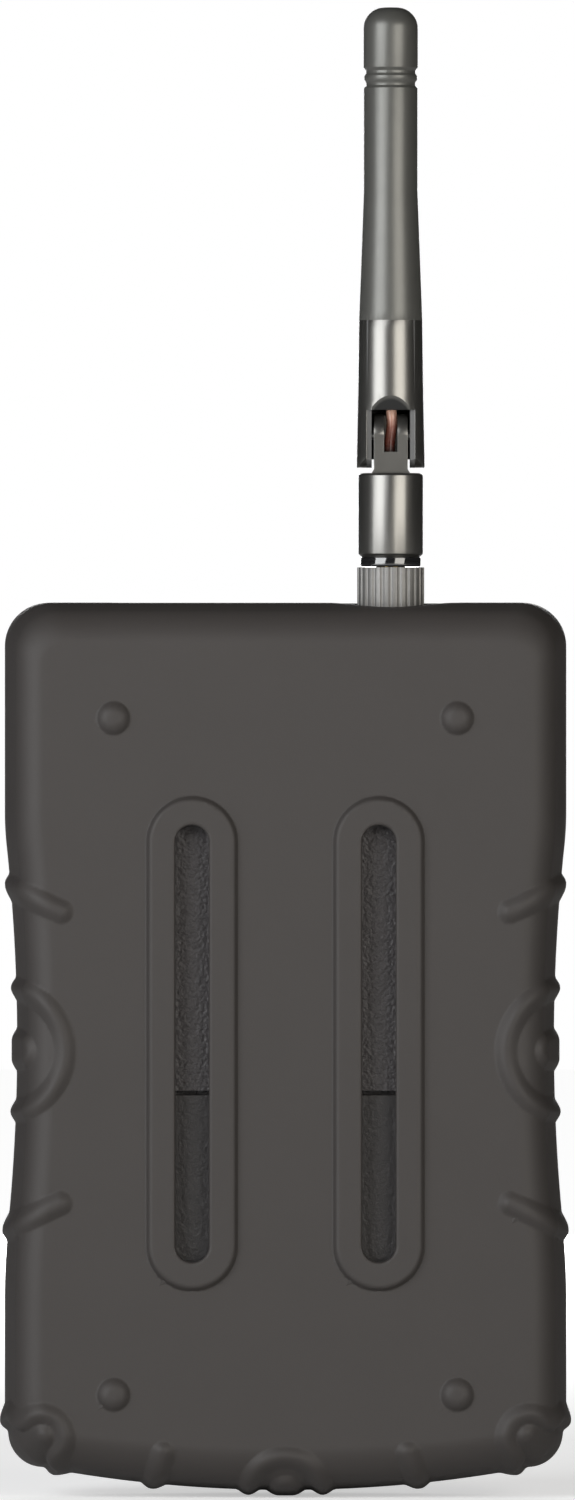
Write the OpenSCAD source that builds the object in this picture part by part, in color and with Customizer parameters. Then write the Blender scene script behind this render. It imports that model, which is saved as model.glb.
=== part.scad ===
// Body-worn radio transmitter for a guitar, in a rubber boot, with a folding antenna.
// Millimetres. The rear face looks towards -Y, the antenna stands up along +Z, and
// +X is to the right as the rear face is seen. The floor is z = 0.

/* [Boot] */
// Width across the straight part of the sides
boot_w = 87; // [86:0.5:90]
// Height of the top face above the floor
boot_h = 138.3; // [138:0.1:140]
// Thickness from the rear face to the front lip
boot_d = 33; // [32.5:0.5:35]
// Thickness of the rear wall and of the front lip
boot_wall = 3; // [2.5:0.1:3.2]
// Radius of the top corners, seen from behind
top_corner_r = 6.7; // [4:0.1:8]
// Radius of the bottom corners, seen from behind
sole_corner_r = 7; // [5:0.5:8]
// Rounding of the long edges
edge_r = 3.2; // [1:0.1:4]
// Rounding of the edge between the rear face and the sole
toe_r = 7; // [3:0.5:8]
// Radius of the bowed sole
sole_r = 206; // [180:1:260]
// Radius of the hollow in each side
waist_r = 287; // [260:1:400]
// How deep the waist cuts into each side
waist_in = 1.9; // [1:0.1:2.2]
// Height of the middle of the waist
waist_z = 70.2; // [65:0.1:75]

/* [Ribs and nubs] */
// How far the grip ribs stand out
rib_h = 0.85; // [0.5:0.05:1]
// Width of a rib
rib_w = 3.3; // [2.5:0.1:4]
// How far the four rear nubs stand out
nub_h = 1.2; // [0.8:0.1:1.6]
// Radius of a nub
nub_r = 2.55; // [2:0.05:3.5]

/* [Rear slots] */
// Distance of each slot from the middle
slot_x = 14.4; // [12:0.1:18]
// Width of a slot
slot_w = 5.2; // [4.5:0.1:7]
// Length of a slot
slot_l = 67.4; // [50:0.1:72]
// Height of a slot's middle
slot_z = 70.2; // [65:0.1:72]
// Width of the raised pad round a slot
pad_w = 14.1; // [12:0.1:16]
// Height of the raised pad
pad_h = 1; // [0.5:0.1:1]

/* [Case] */
// Width of the hard case
case_w = 77; // [76:0.5:78]
// Wall thickness of the case
case_wall = 2.2; // [2:0.1:2.4]
// Height of the case's bottom
case_z0 = 6.6; // [6.4:0.1:7]
// Height of the battery door's top edge
door_top_z = 62.3; // [60:0.1:63]

/* [Connectors] */
// Instrument jack, distance from the middle
jack_x = -17; // [-19:0.5:-16]
// Bore of the instrument jack
jack_bore_r = 3.25; // [3.2:0.01:3.3]
// Antenna axis, distance from the middle
ant_x = 16.3; // [15.5:0.1:18]

/* [Antenna] */
// Radius of the knuckle
knuckle_r = 5; // [4.6:0.1:5.2]
// Height of the hinge pins
pivot_z = 164.35; // [164:0.05:165]
// Height of the seam between fork and sleeve
sleeve_z0 = 182.1; // [180:0.1:186]
// Height of the antenna's tip
tip_z = 230.6; // [228:0.1:240]
// Radius of the coupling nut
nut_r = 5.2; // [5:0.05:5.4]

/* [Controls] */
// Travel of the two front keys
key_travel = 0.5; // [0.3:0.1:0.6]
// Travel of the power slider
slider_travel = 3.5; // [2.5:0.5:4]

/* [Hidden] */
$fn = 64;

// Depth of the case's middle plane, so that nubs and front lip are equally far from y = 0
mid_y = nub_h / 2;
rear_y = mid_y - boot_d / 2;
front_y = mid_y + boot_d / 2;
sole_z = rib_h;
sole_axis_z = sole_z + sole_r;
side_x = boot_w / 2;
waist_x = side_x - waist_in;
sides = [-1, 1];
// Small offset that makes round edges cross flat faces at an angle
skew = 0.13;

// Case
case_y0 = rear_y + boot_wall;
case_y1 = front_y - boot_wall;
case_z1 = boot_h - 3.8;
gap = 0.05;
inner_x = case_w / 2 - case_wall;
end_wall_z = case_z1 - 3.9;
front_inner_y = case_y1 - case_wall;

// Screw columns in the case's corners
column_x = 33.6;
column_r = 2.9;
column_zs = [13, 126.5];

// Battery box
cell_r = 7.1;
cell_pitch = 14.6;
tub_x = 29.3;
tub_wall = 1.2;
tub_z0 = 8.8;
tub_z1 = 61.8;
tub_y1 = 3.5;
door_x = 31;
door_t = 1.8;
door_gap = 0.6;
cell_y = case_y0 + door_t + 0.3 + cell_r;
plate_t = 0.3;
spring_h = 1.6;
tab_x = 22;

// Board and what stands on it
board_y0 = 6.6;
board_y1 = 8.2;
post_x = 26.5;
post_zs = [17, 121];

// Top end panel
panel_z0 = case_z1 - 2.95;
panel_z1 = panel_z0 + 2;
panel_x = 34.9;
panel_half_d = 10.9;

// Antenna heights
nut_z0 = 136;
nut_z1 = 143.8;
collar_z0 = nut_z1 + 0.1;
knuckle_z0 = 145.4;
knuckle_z1 = 158.4;
tongue_w = 5.24;
tongue_r = 3.2;
fork_slot_w = 5.9;
fork_slot_top = pivot_z + 3.85;
fork_end_r = 5.1;
pin_r = 0.75;
coax_r = 0.85;

// Front controls
mute_z = 84;
channel_z = 60;
led_z = 108;
led_xs = [-12, 0, 12];
mute_r = 7;
channel_r = 4.5;
key_top_y = 15.7;

// ---------- helpers ----------

// Extrudes an outline drawn in x and z from depth y0 to depth y1.
module along_y(y0, y1) {
  translate([0, y1, 0]) rotate([90, 0, 0]) linear_extrude(y1 - y0) children();
}

// Extrudes an outline drawn in y and z from x0 to x1.
module along_x(x0, x1) {
  translate([x0, 0, 0]) rotate([90, 0, 90]) linear_extrude(x1 - x0) children();
}

// A box given by its two opposite corners.
module block(low, high) {
  translate(low) cube(high - low);
}

// A rod along Z, from z0 to z1.
module rod_z(x, y, z0, z1, r) {
  translate([x, y, z0]) cylinder(r = r, h = z1 - z0);
}

// A rod along Y, from y0 to y1.
module rod_y(x, z, y0, y1, r) {
  translate([x, y1, z]) rotate([90, 0, 0]) cylinder(r = r, h = y1 - y0);
}

// A ring along Z.
module ring_z(x, y, z0, z1, outer_r, inner_r) {
  difference() {
    rod_z(x, y, z0, z1, outer_r);
    rod_z(x, y, z0 - 1, z1 + 1, inner_r);
  }
}

// A quarter disc in the corner that dx and dy point to.
module quarter(r, dx, dy) {
  intersection() {
    circle(r);
    translate([dx < 0 ? -r : 0, dy < 0 ? -r : 0]) square(r);
  }
}

// The half of a disc that lies on the -x side.
module half_disc(r) {
  intersection() {
    circle(r);
    translate([-r, -r]) square([r, 2 * r]);
  }
}

// A rectangle whose lower and upper corners have their own radii.
module rounded_rect(x0, x1, y0, y1, low_r, high_r) {
  translate([x0, y0 + low_r]) square([x1 - x0, y1 - y0 - low_r - high_r]);
  translate([x0 + low_r, y0]) square([x1 - x0 - 2 * low_r, low_r]);
  translate([x0 + high_r, y1 - high_r]) square([x1 - x0 - 2 * high_r, high_r]);
  translate([x0 + low_r, y0 + low_r]) quarter(low_r, -1, -1);
  translate([x1 - low_r, y0 + low_r]) quarter(low_r, 1, -1);
  translate([x0 + high_r, y1 - high_r]) quarter(high_r, -1, 1);
  translate([x1 - high_r, y1 - high_r]) quarter(high_r, 1, 1);
}

// An upright oblong with round ends.
module oblong(w, l) {
  straight = l - w;
  translate([-w / 2, -straight / 2]) square([w, straight]);
  translate([0, straight / 2]) rotate(-90) half_disc(w / 2);
  translate([0, -straight / 2]) rotate(90) half_disc(w / 2);
}

// A bar with one round end, running from there in the direction of angle.
module bar(x, z, angle, length, w) {
  translate([x, z]) rotate(angle) {
    half_disc(w / 2);
    translate([0, -w / 2]) square([length, w]);
  }
}

module annulus(outer_r, inner_r) {
  difference() {
    circle(outer_r);
    circle(inner_r);
  }
}

// ---------- boot ----------

// The boot seen from behind, grown by g all round.
module boot_outline(g) {
  corner_x = side_x - sole_corner_r + skew;
  corner_z = sole_axis_z - sqrt(pow(sole_r - sole_corner_r, 2) - pow(corner_x, 2)) - 2 * skew;
  touch_x = corner_x * (sole_r + g) / (sole_r - sole_corner_r);
  difference() {
    intersection() {
      rounded_rect(-side_x - g, side_x + g, -9, boot_h + g, 1, top_corner_r + g);
      translate([0, sole_axis_z]) circle(sole_r + g, $fn = 720);
    }
    for (s = sides) {
      translate([s * (waist_x + waist_r), waist_z]) circle(waist_r - g, $fn = 720);
      difference() {
        translate([s > 0 ? touch_x : -touch_x - 9, -10]) square([9, 10 + corner_z]);
        translate([s * corner_x, corner_z]) circle(sole_corner_r + g);
      }
    }
  }
}

// The boot as a solid block with its edges rounded, grown by g at the rear, sides, top and sole.
module boot_block(g) {
  intersection() {
    along_y(rear_y - g, front_y) boot_outline(g);
    along_x(-60, 60) boot_side_profile(g);
    translate([0, 0, -5]) linear_extrude(160) boot_top_profile(g);
  }
}

// This outline stays just clear of the bowed sole and of the flat top, so that only its
// round edges cut the block.
module boot_side_profile(g) {
  foot_z = sole_z - g - 2 * skew;
  difference() {
    rounded_rect(rear_y - g, front_y, foot_z, boot_h + g + skew, edge_r, edge_r + g);
    difference() {
      translate([rear_y - g - 1, foot_z - 1]) square(toe_r + g + 1);
      translate([rear_y + toe_r, foot_z + g + toe_r]) circle(toe_r + g);
    }
  }
}

module boot_top_profile(g) {
  rounded_rect(-side_x - g - skew, side_x + g + skew, rear_y - g, front_y, edge_r + g, edge_r);
}

// Outlines of all ribs, seen from behind. They run round the sides and the sole.
module rib_outlines() {
  ring_mid_r = 9.6;
  bullseye_x = 39.5;
  bullseye_z = 7.9;
  sole_ring_r = 5.8;
  for (s = sides) {
    translate([s * 43.6, 69.1]) annulus(ring_mid_r + 1.5, ring_mid_r - 1.5);
    translate([s * 41.8, 69.1]) circle(3.1);
    bar(s * 34.6, 90.6, s > 0 ? 24 : 156, 16, rib_w);
    bar(s * 34.7, 45.6, s > 0 ? -25 : -155, 16, rib_w);
    bar(s * 18.9, 7, s > 0 ? -73 : -107, 12, rib_w);
    translate([s * bullseye_x, bullseye_z]) {
      circle(3.7);
      annulus(7.3, 4.6);
    }
  }
  translate([0, 0.6]) {
    circle(2.8);
    annulus(sole_ring_r + 1.5, sole_ring_r - 1.5);
  }
}

module nub(x, z) {
  ball_r = (nub_r * nub_r + nub_h * nub_h) / (2 * nub_h);
  intersection() {
    translate([x, rear_y - nub_h + ball_r, z]) sphere(ball_r);
    rod_y(x, z, rear_y - nub_h - 1, rear_y + 0.5, nub_r + 1);
  }
}

module boot() {
  lip_opening_x = 33.5;
  window_x = 29;
  window_half_d = 8;
  scallop_w = 14;
  scallop_h = 0.7;
  scallop_r = (pow(scallop_w / 2, 2) + scallop_h * scallop_h) / (2 * scallop_h);
  color("#4f4b4a")
  difference() {
    union() {
      boot_block(0);
      intersection() {
        boot_block(rib_h);
        along_y(rear_y - 5, front_y - 3.5) rib_outlines();
      }
      for (s = sides) {
        along_y(rear_y - pad_h, rear_y + 1)
          translate([s * slot_x, slot_z]) oblong(pad_w, slot_l + pad_w - slot_w);
        nub(s * 26.5, 120.4);
        nub(s * 26.5, 16.1);
      }
    }
    along_y(case_y0 - gap, case_y1 + gap) case_outline(gap);
    along_y(case_y1, front_y + 1)
      rounded_rect(-lip_opening_x, lip_opening_x, 13, case_z1 - 6.5, 5, 5);
    for (s = sides)
      along_y(rear_y - 5, case_y0 + 1) translate([s * slot_x, slot_z]) oblong(slot_w, slot_l);
    translate([0, 0, case_z1 - 1]) linear_extrude(9)
      rounded_rect(-window_x, window_x, mid_y - window_half_d, mid_y + window_half_d, 4, 4);
    rod_y(ant_x, boot_h - scallop_h + scallop_r, rear_y - 5, mid_y, scallop_r);
  }
}

// ---------- case ----------

// The case seen from behind, grown by g.
module case_outline(g) {
  rounded_rect(-case_w / 2 - g, case_w / 2 + g, case_z0 - g, case_z1 + g, 6 + g, 4 + g);
}

// The room inside the case, below its end wall.
module room_outline() {
  rounded_rect(-inner_x, inner_x, case_z0 + case_wall, end_wall_z, 3.8, 1.8);
}

// Slot for the end panel and the window that shows it.
module panel_cut() {
  block([-panel_x - 0.1, mid_y - panel_half_d - 0.1, panel_z0 - gap],
        [panel_x + 0.1, mid_y + panel_half_d + 0.1, panel_z1 + gap]);
  block([-33.5, mid_y - 9.6, end_wall_z - 1], [33.5, mid_y + 9.6, case_z1 + 1]);
}

module case_rear() {
  color("#413e3e")
  difference() {
    union() {
      difference() {
        along_y(case_y0, mid_y - gap) case_outline(0);
        along_y(case_y0 + case_wall, mid_y + 1) room_outline();
      }
      block([-tub_x - tub_wall, case_y0 + 1, tub_z0 - 1],
            [tub_x + tub_wall, tub_y1 + 1, tub_z1 + tub_wall]);
      for (s = sides, z = column_zs)
        rod_y(s * column_x, z, case_y0 + 1, mid_y - gap, column_r);
    }
    block([-tub_x, case_y0 - 1, tub_z0], [tub_x, tub_y1, tub_z1]);
    block([-door_x - 0.15, case_y0 - 1, 7.9], [door_x + 0.15, case_y0 + door_t, door_top_z + door_gap]);
    for (s = sides)
      block([s * tab_x - 1.7, tub_y1 - 1, tub_z1 - 0.9], [s * tab_x + 1.7, tub_y1 + 2, tub_z1 - 0.1]);
    for (s = sides, z = column_zs) {
      rod_y(s * column_x, z, case_y0 - 1, mid_y + 1, 1.4);
      rod_y(s * column_x, z, case_y0 - 1, case_y0 + 2.4, 2.5);
    }
    panel_cut();
  }
}

module case_front() {
  color("#413e3e")
  difference() {
    union() {
      difference() {
        along_y(mid_y + gap, case_y1) case_outline(0);
        along_y(mid_y - 1, front_inner_y) room_outline();
      }
      for (s = sides, z = column_zs)
        rod_y(s * column_x, z, mid_y + gap, front_inner_y + 1, column_r);
      for (s = sides, z = post_zs)
        rod_y(s * post_x, z, board_y1 + gap, front_inner_y + 1, 2.3);
    }
    for (s = sides, z = column_zs)
      rod_y(s * column_x, z, mid_y - 1, mid_y + 9, 1.25);
    for (s = sides, z = post_zs)
      rod_y(s * post_x, z, board_y1 - 1, board_y1 + 3, 0.95);
    along_y(case_y1 - 0.4, case_y1 + 1) rounded_rect(-30.1, 30.1, 19.9, 120.1, 3, 3);
    rod_y(0, mute_z, front_inner_y - 1, case_y1 + 1, mute_r + 0.2);
    rod_y(0, channel_z, front_inner_y - 1, case_y1 + 1, channel_r + 0.2);
    for (x = led_xs) rod_y(x, led_z, front_inner_y - 1, case_y1 + 1, 1.55);
    block([-tub_x - tub_wall - gap, mid_y - 1, tub_z0 - 1 - gap],
          [tub_x + tub_wall + gap, tub_y1 + 1 + gap, tub_z0 + 1]);
    panel_cut();
  }
}

module battery_door() {
  color("#3a3737")
  block([-door_x, case_y0, 8], [door_x, case_y0 + door_t - gap, door_top_z]);
}

module top_panel() {
  color("#2f2f31")
  difference() {
    block([-panel_x, mid_y - panel_half_d, panel_z0], [panel_x, mid_y + panel_half_d, panel_z1]);
    rod_z(jack_x, mid_y, panel_z0 - 1, panel_z1 + 1, 4.8);
    rod_z(ant_x, mid_y, panel_z0 - 1, panel_z1 + 1, 3.2);
    block([-4.1, mid_y - 2, panel_z0 - 1], [4.1, mid_y + 2, panel_z1 + 1]);
    for (s = sides) rod_z(s * 7.7, mid_y, panel_z0 - 1, panel_z1 + 1, 1.05);
  }
}

module front_overlay() {
  color("#26282b")
  difference() {
    along_y(case_y1 - 0.4, case_y1) rounded_rect(-30, 30, 20, 120, 3, 3);
    rod_y(0, mute_z, case_y1 - 1, case_y1 + 1, mute_r + 0.2);
    rod_y(0, channel_z, case_y1 - 1, case_y1 + 1, channel_r + 0.2);
    for (x = led_xs) rod_y(x, led_z, case_y1 - 1, case_y1 + 1, 1.55);
  }
}

module case_screws() {
  color("silver")
  for (s = sides, z = column_zs) {
    rod_y(s * column_x, z, case_y0 + 0.6, case_y0 + 2.4, 2.3);
    rod_y(s * column_x, z, case_y0 + 2.4, mid_y + 8.5, 1.25);
  }
}

module board_screws() {
  color("silver")
  for (s = sides, z = post_zs) {
    rod_y(s * post_x, z, board_y0 - 1.1, board_y0, 1.9);
    rod_y(s * post_x, z, board_y0, board_y1 + 2.8, 0.95);
  }
}

module switch_screws() {
  color("silver")
  for (s = sides) {
    rod_z(s * 7.7, mid_y, panel_z1, panel_z1 + 1, 1.6);
    rod_z(s * 7.7, mid_y, panel_z0 - 2.2, panel_z1, 1);
  }
}

// ---------- electronics ----------

module main_board() {
  color("#1f6b3a")
  difference() {
    block([-30, board_y0, 10], [30, board_y1, 126]);
    for (s = sides, z = post_zs) rod_y(s * post_x, z, board_y0 - 1, board_y1 + 1, 1.1);
  }
}

// Chips on the rear side of the board: x, z, width, height and thickness of each.
module board_chips() {
  chips = [[-2, 74, 12, 12, 1.4], [-20, 78, 8, 5, 1.5], [17, 74, 9, 9, 1.2], [-4, 96, 6, 10, 2.2]];
  color("#202020")
  for (c = chips)
    block([c[0] - c[2] / 2, board_y0 - c[4], c[1] - c[3] / 2], [c[0] + c[2] / 2, board_y0, c[1] + c[3] / 2]);
}

module rf_board() {
  color("#20507a")
  block([ant_x - 9, board_y0 - 0.8, 88], [ant_x + 9, board_y0, 114]);
}

module rf_shield() {
  color("#c0c2c4")
  difference() {
    block([ant_x - 8, board_y0 - 3.2, 90], [ant_x + 8, board_y0 - 0.8, 107]);
    block([ant_x - 7.7, board_y0 - 2.9, 90.3], [ant_x + 7.7, board_y0 - 0.7, 106.7]);
  }
}

// Thin coax from the antenna jack down to its small plug on the radio board.
module pigtail_coax() {
  bend_r = 3;
  plug_z = 110.5;
  color("#2a2a2a") {
    rod_z(ant_x, mid_y, plug_z + bend_r, panel_z0 - 5.55, 0.65);
    translate([ant_x, mid_y + bend_r, plug_z + bend_r]) rotate([90, 0, 90])
      rotate_extrude(angle = 90, start = 180) translate([bend_r, 0]) circle(0.65);
    rod_y(ant_x, plug_z, mid_y + bend_r, board_y0 - 0.8, 1.3);
  }
}

// Four cells side by side, turned end for end in turn.
module battery_cells() {
  body_l = 49.2;
  button_l = 1.3;
  color("#7d8a93")
  for (i = [0:3]) {
    x = (i - 1.5) * cell_pitch;
    up = i % 2 == 0;
    z = up ? tub_z0 + plate_t + spring_h + 0.05 : tub_z0 + plate_t + 0.15 + button_l;
    rod_z(x, cell_y, z, z + body_l, cell_r);
    rod_z(x, cell_y, up ? z + body_l : z - button_l, up ? z + body_l + button_l : z, 2.75);
  }
}

// Sheet contacts at both ends of the battery box, two of them with tabs to the board.
module battery_contacts() {
  tab_z0 = tub_z1 - plate_t - 0.35;
  color("#c9ccd0") {
    for (s = sides) {
      block([s * 14.7 - 14, cell_y - 5, tub_z0], [s * 14.7 + 14, cell_y + 5, tub_z0 + plate_t]);
      block([s * tab_x - 6.5, cell_y - 5, tub_z1 - plate_t], [s * tab_x + 6.5, cell_y + 5, tub_z1]);
      block([s * tab_x - 1.5, cell_y + 4.5, tab_z0], [s * tab_x + 1.5, cell_y + 5, tub_z1 - 0.2]);
      block([s * tab_x - 1.5, cell_y + 5, tab_z0], [s * tab_x + 1.5, board_y0, tab_z0 + plate_t]);
    }
    block([-14, cell_y - 5, tub_z1 - plate_t], [14, cell_y + 5, tub_z1]);
  }
}

// Leaf springs on the minus ends, each a bent strip.
module contact_springs() {
  leaf = [[-4.5, 0], [-3.5, 0], [0, 1.3], [3.5, 0.3], [4, 0.5], [0, spring_h], [-4, 0.3], [-4.5, 0.3]];
  color("#d8dadd")
  for (i = [0:3]) {
    x = (i - 1.5) * cell_pitch;
    low = i % 2 == 0;
    along_y(cell_y - 2, cell_y + 2)
      translate([x, low ? tub_z0 + plate_t : tub_z1 - plate_t]) scale([1, low ? 1 : -1]) polygon(leaf);
  }
}

// ---------- instrument jack and power switch ----------

module jack_body() {
  color("#1c1c1e")
  difference() {
    block([jack_x - 7.4, mid_y - 7, 103], [jack_x + 7.4, board_y0 - gap, panel_z0 - 1.5]);
    rod_z(jack_x, mid_y, 106, panel_z0, 4.2);
    for (z = [109, 117, 125]) block([jack_x - 2.3, mid_y, z - 1.6], [jack_x + 2.3, board_y0 + 1, z + 1.6]);
  }
}

// Springy contacts that press on the plug and end in pins on the board.
module jack_contacts() {
  leaf = [[3.95, 1.2], [3.95, 0.4], [4.4, -0.2], [6.55, -0.2], [6.55, 0.2], [4.6, 0.2], [4.35, 0.5], [4.35, 1.2]];
  color("#c9ccd0")
  for (z = [109, 117, 125]) along_x(jack_x - 2, jack_x + 2) translate([0, z]) polygon(leaf);
}

module jack_bushing() {
  color("#b9bbbe")
  difference() {
    union() {
      rod_z(jack_x, mid_y, panel_z0 - 1.5, panel_z0, 6.6);
      rod_z(jack_x, mid_y, panel_z0 - 0.5, panel_z0 + 6.05, 4.7);
    }
    rod_z(jack_x, mid_y, panel_z0 - 3, panel_z0 + 9, jack_bore_r);
  }
}

module jack_washer() {
  color("#b9bbbe") ring_z(jack_x, mid_y, panel_z1, panel_z1 + 0.6, 7, 4.8);
}

module jack_nut() {
  color("#a8aaad")
  difference() {
    translate([jack_x, mid_y, panel_z1 + 0.6]) cylinder(r = 7.3, h = 2.2, $fn = 6);
    rod_z(jack_x, mid_y, panel_z1, panel_z1 + 4, 4.75);
  }
}

module power_switch_body() {
  color("#202022")
  difference() {
    union() {
      block([-6, mid_y - 3.2, panel_z0 - 8], [6, mid_y + 3.2, panel_z0 - 0.05]);
      block([-9.6, mid_y - 2.6, panel_z0 - 2], [9.6, mid_y + 2.6, panel_z0 - 0.05]);
    }
    for (s = sides) rod_z(s * 7.7, mid_y, panel_z0 - 3, panel_z0 + 1, 1);
  }
}

// Rests at the off end, and slides towards +X.
module power_switch_slider() {
  x = -slider_travel / 2;
  color("#d9d9d6")
  difference() {
    block([x - 1.75, mid_y - 1.7, panel_z0 + 0.05], [x + 1.75, mid_y + 1.7, panel_z1 + 2.6]);
    for (dx = [-0.9, 0, 0.9])
      block([x + dx - 0.2, mid_y - 2, panel_z1 + 2.2], [x + dx + 0.2, mid_y + 2, panel_z1 + 3]);
  }
}

// ---------- antenna ----------

module antenna_jack() {
  color("#c8a64b")
  difference() {
    union() {
      translate([ant_x, mid_y, panel_z0 - 1.5]) cylinder(r = 4.6, h = 1.5, $fn = 6);
      rod_z(ant_x, mid_y, panel_z0 - 0.5, 141.2, 3.1);
      rod_z(ant_x, mid_y, panel_z0 - 5.5, panel_z0 - 1.4, 2);
    }
    rod_z(ant_x, mid_y, panel_z0, 142, 2.3);
    rod_z(ant_x, mid_y, panel_z0 - 4, panel_z0 + 1, 0.7);
  }
}

module antenna_jack_insulator() {
  color("#f2f0ea") ring_z(ant_x, mid_y, panel_z0 + 0.05, 139, 2.25, 0.5);
}

module antenna_jack_pin() {
  color("#d4af37") rod_z(ant_x, mid_y, panel_z0 - 3.9, 142.6, 0.45);
}

module antenna_jack_washer() {
  color("#c8a64b") ring_z(ant_x, mid_y, panel_z1, panel_z1 + 0.4, 4.7, 3.2);
}

module antenna_jack_nut() {
  color("#c8a64b")
  difference() {
    translate([ant_x, mid_y, panel_z1 + 0.4]) cylinder(r = 4.6, h = 1.6, $fn = 6);
    rod_z(ant_x, mid_y, panel_z1, panel_z1 + 3, 3.15);
  }
}

// Fluted nut that screws onto the antenna jack and turns round the ferrule.
module antenna_nut() {
  flutes = 24;
  color("#b5b5b3")
  difference() {
    rod_z(ant_x, mid_y, nut_z0, nut_z1, nut_r);
    rod_z(ant_x, mid_y, nut_z0 - 1, nut_z1 - 1.1, 3.2);
    rod_z(ant_x, mid_y, nut_z0, nut_z1 + 1, 2.35);
    for (i = [0:flutes - 1])
      translate([ant_x, mid_y, 0]) rotate(i * 360 / flutes) rod_z(nut_r + 0.15, 0, nut_z0 - 1, nut_z1 + 1, 0.38, $fn = 16);
  }
}

module antenna_ferrule() {
  color("#c8a64b")
  difference() {
    union() {
      rod_z(ant_x, mid_y, 141.25, 142.6, 3.05);
      rod_z(ant_x, mid_y, 142.5, 147, 2.25);
    }
    rod_z(ant_x, mid_y, 140, 148, 1.6);
  }
}

module antenna_insulator() {
  color("#f2f0ea") ring_z(ant_x, mid_y, 141.3, 145.9, 1.55, 0.85);
}

module antenna_contact() {
  color("#d4af37")
  difference() {
    rod_z(ant_x, mid_y, 141.4, 145.9, 0.8);
    rod_z(ant_x, mid_y, 141, 144, 0.5);
  }
}

module antenna_collar() {
  color("#151517")
  translate([ant_x, mid_y, 0])
  rotate_extrude()
  polygon([[2.3, collar_z0], [4.5, collar_z0], [4.7, collar_z0 + 0.2], [4.7, knuckle_z0 - 0.15],
           [4.55, knuckle_z0], [2.3, knuckle_z0]]);
}

// Lower half of the hinge: a barrel with a split tongue that the fork turns on.
module antenna_knuckle() {
  bevel = 0.35;
  color("#2e2e30")
  difference() {
    union() {
      translate([ant_x, mid_y, 0]) rotate_extrude()
        polygon([[0, knuckle_z0], [knuckle_r - 0.5, knuckle_z0], [knuckle_r, knuckle_z0 + 0.5],
                 [knuckle_r, knuckle_z1 - bevel], [knuckle_r - bevel, knuckle_z1], [0, knuckle_z1]]);
      along_x(ant_x - tongue_w / 2, ant_x + tongue_w / 2)
        translate([mid_y, pivot_z]) {
          rotate(-90) half_disc(tongue_r);
          translate([-tongue_r, knuckle_z1 - 0.5 - pivot_z]) square([2 * tongue_r, pivot_z - knuckle_z1 + 0.5]);
        }
      along_y(mid_y - tongue_r, mid_y + tongue_r) translate([ant_x, knuckle_z1 - 0.2])
        polygon([[-3.1, 0], [3.1, 0], [tongue_w / 2 - 0.1, 0.95], [-tongue_w / 2 + 0.1, 0.95]]);
    }
    rod_z(ant_x, mid_y, knuckle_z0 - 1, pivot_z, 1);
    rod_z(ant_x, mid_y, knuckle_z0 - 1, knuckle_z0 + 1.65, 2.3);
    block([ant_x - 1.05, mid_y - 6, 161.7], [ant_x + 1.05, mid_y + 1.05, pivot_z + 6]);
    translate([ant_x - 4, mid_y, pivot_z]) rotate([0, 90, 0]) cylinder(r = pin_r + 0.05, h = 8);
  }
}

// Two short pins, one in each leg of the fork, so that the coax passes between them.
module hinge_pins() {
  color("silver")
  for (s = sides)
    translate([ant_x + s * 2.875, mid_y, pivot_z]) rotate([0, 90, 0])
      cylinder(r = pin_r, h = 3.45, center = true);
}

module antenna_fork() {
  spigot_top = sleeve_z0 + 6;
  edge_w = fork_slot_w / 2 + 0.8; // half width across the slot's bevelled edges
  edge_y = -3.42;                 // where the bevel meets the fork's round outside
  color("#2b2b2d")
  difference() {
    union() {
      intersection() {
        translate([ant_x, mid_y, 0]) rotate_extrude()
          polygon([[0, 158], [5.25, 158], [5.25, 161], [5.05, 171], [4.9, sleeve_z0], [0, sleeve_z0]]);
        along_x(ant_x - 9, ant_x + 9) translate([mid_y, pivot_z]) {
          rotate(90) half_disc(fork_end_r);
          translate([-fork_end_r, 0]) square([2 * fork_end_r, 20]);
        }
      }
      rod_z(ant_x, mid_y, sleeve_z0 - 1, spigot_top, 3.6);
    }
    rod_z(ant_x, mid_y, pivot_z, spigot_top + 1, 1);
    block([ant_x - fork_slot_w / 2, mid_y - 9, 150], [ant_x + fork_slot_w / 2, mid_y + 3.45, fork_slot_top]);
    translate([ant_x, mid_y, 150]) linear_extrude(fork_slot_top - 150)
      polygon([[-edge_w, -9], [-edge_w, edge_y], [-fork_slot_w / 2, edge_y + 0.23],
               [fork_slot_w / 2, edge_y + 0.23], [edge_w, edge_y], [edge_w, -9]]);
    along_x(ant_x - fork_slot_w / 2, ant_x + fork_slot_w / 2)
      translate([mid_y, fork_slot_top]) polygon([[-3.98, -1], [-3.98, 0], [-6, 4.1], [-9, 4.1], [-9, -1]]);
    translate([ant_x - 4.6, mid_y, pivot_z]) rotate([0, 90, 0]) cylinder(r = pin_r, h = 9.2);
  }
}

// Outline of the sleeve from its axis outwards, with the two grooves and the domed tip.
module sleeve_profile() {
  dome_r = 3.2;
  tip_r = 4.2;
  difference() {
    union() {
      polygon([[0, sleeve_z0], [4.9, sleeve_z0], [4.15, 202.3], [4.15, 218.1], [3.78, 218.5],
               [3.78, 218.9], [4.09, 219.4], [4.09, 220], [3.8, 220.4], [3.8, 220.8],
               [tip_r, 221.3], [tip_r, tip_z - dome_r], [0, tip_z - dome_r]]);
      translate([0, tip_z - dome_r]) square([tip_r - dome_r, dome_r]);
      translate([tip_r - dome_r, tip_z - dome_r]) quarter(dome_r, 1, 1);
    }
    translate([-1, sleeve_z0 - 1]) square([4.7, 7.2]);
    translate([-1, sleeve_z0]) square([3, tip_z - sleeve_z0 - 4]);
  }
}

module antenna_sleeve() {
  color("#333334") translate([ant_x, mid_y, 0]) rotate_extrude() sleeve_profile();
}

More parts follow.
